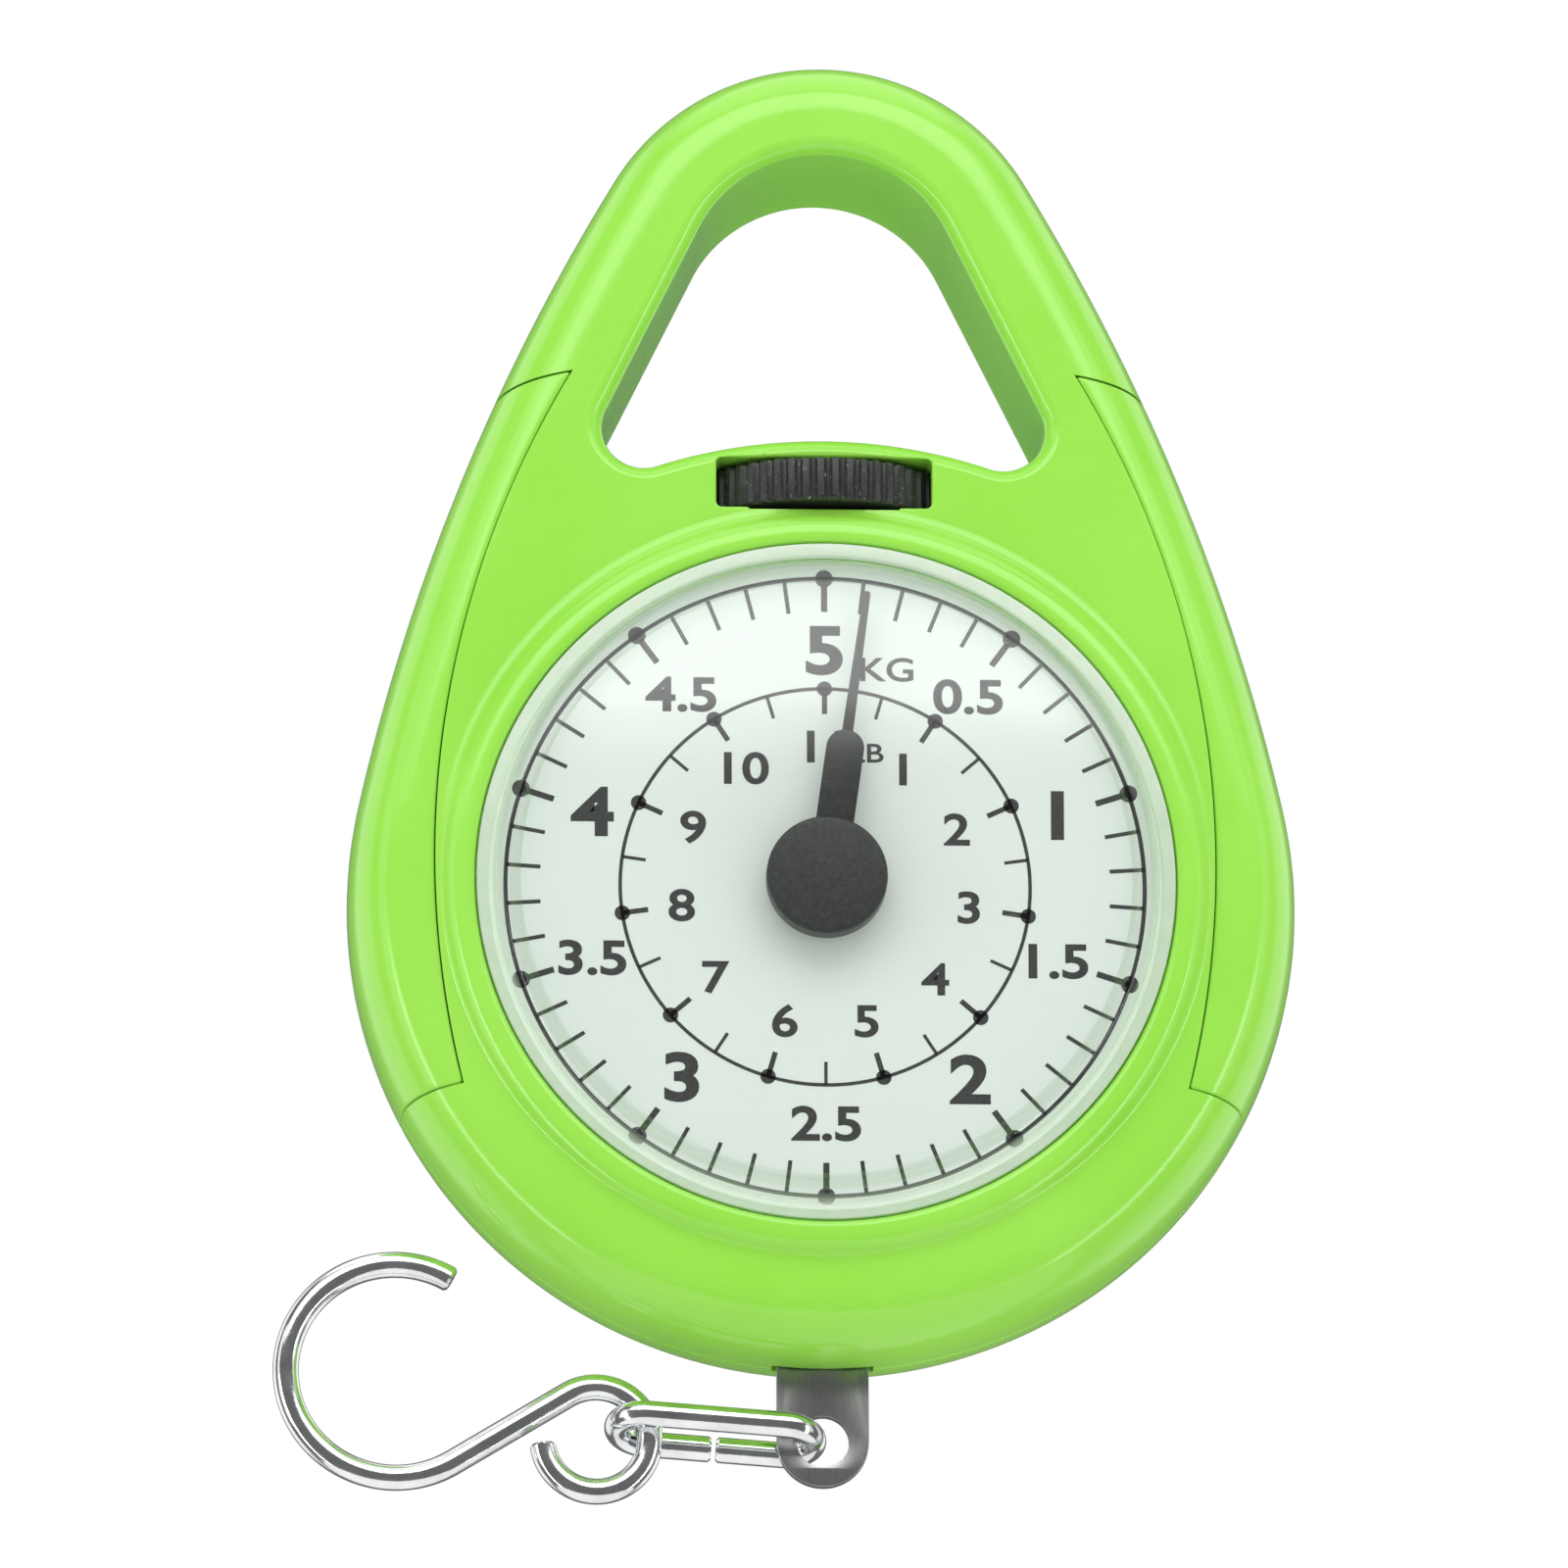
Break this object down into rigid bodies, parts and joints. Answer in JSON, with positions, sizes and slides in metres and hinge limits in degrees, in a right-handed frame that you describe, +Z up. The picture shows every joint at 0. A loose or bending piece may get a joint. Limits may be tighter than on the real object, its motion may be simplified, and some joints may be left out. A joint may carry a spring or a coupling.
{
  "type": "hanging spring scale",
  "caption": "Small hanging spring scale: teardrop plastic case with a loop handle, round dial under a domed window, zero wheel, and an S-hook on a split link.",
  "frame": {"origin": "point inside the top of the handle loop that bears on the peg or finger, in the parting plane of the case", "axes": "+X to the right seen from the dial side, -Y out of the dial, +Z up"},
  "size_m": [0.0862, 0.0248, 0.1251],
  "materials": {
    "lime_plastic": "gloss",
    "black_plastic": "semi gloss",
    "clear_window": "clear, glossy",
    "dial_print": "satin print",
    "black_pad": "matte",
    "black_rubber": "matte",
    "zinc_steel": "satin",
    "stamped_steel": "satin",
    "spring_steel": "satin",
    "brass": "satin",
    "chrome_wire": "bright"
  },
  "bodies": {
    "case": {"front_shell": "lime_plastic", "rear_shell": "lime_plastic", "left_cover": "lime_plastic", "right_cover": "lime_plastic", "case_screws": "zinc_steel", "lens": "clear_window", "dial_plate": "dial_print", "dial_spacers": "black_pad", "chassis_plate": "zinc_steel", "chassis_screws": "zinc_steel", "rear_bridge": "zinc_steel", "bridge_posts": "zinc_steel", "front_bush": "brass", "rear_bush": "brass", "guide_roller": "zinc_steel", "guide_pin": "zinc_steel", "thrust_washer": "zinc_steel", "stop_buffers": "black_rubber"},
    "load": {"load_bar": "stamped_steel", "left_spring": "spring_steel", "right_spring": "spring_steel"},
    "indicator": {"arbor": "zinc_steel", "pinion": "brass", "pointer": "black_plastic"},
    "wheel": {"thumbwheel": "black_plastic", "wheel_insert": "brass", "adjust_screw": "zinc_steel"},
    "anchor": {"spring_anchor": "zinc_steel"},
    "link": {"link": "chrome_wire"},
    "hook": {"hook": "chrome_wire"}
  },
  "joints": [
    {"name": "load_travel", "type": "slide", "parent": "case", "child": "load", "axis": [0, 0, -1], "range_m": [0, 0.01535], "stiffness_N_per_m": 3122, "deforming": ["left_spring", "right_spring"]},
    {"name": "pointer_turn", "type": "hinge", "parent": "case", "child": "indicator", "pos_m": [0, 0, -0.06435], "axis": [0, 1, 0], "range_deg": [0, 352]},
    {"name": "thumbwheel_turn", "type": "hinge", "parent": "case", "child": "wheel", "pos_m": [0, 0, -0.02935], "axis": [0, 0, 1], "range_deg": [-720, 720]},
    {"name": "zero_slide", "type": "slide", "parent": "case", "child": "anchor", "axis": [0, 0, 1], "range_m": [-0.00101, 0.00101]},
    {"name": "link_swing", "type": "hinge", "parent": "load", "child": "link", "pos_m": [0, 0, -0.11055], "axis": [0, -1, 0], "range_deg": [0, 120]},
    {"name": "hook_swing", "type": "hinge", "parent": "link", "child": "hook", "pos_m": [-0.01902, 0, -0.1104], "axis": [0, -1, 0], "range_deg": [-7, 100]}
  ],
  "couplings": [
    {"joint": "pointer_turn", "follows": "load_travel", "rad_per_m": 400},
    {"joint": "zero_slide", "follows": "thumbwheel_turn", "m_per_rad": 0.000079577}
  ]
}
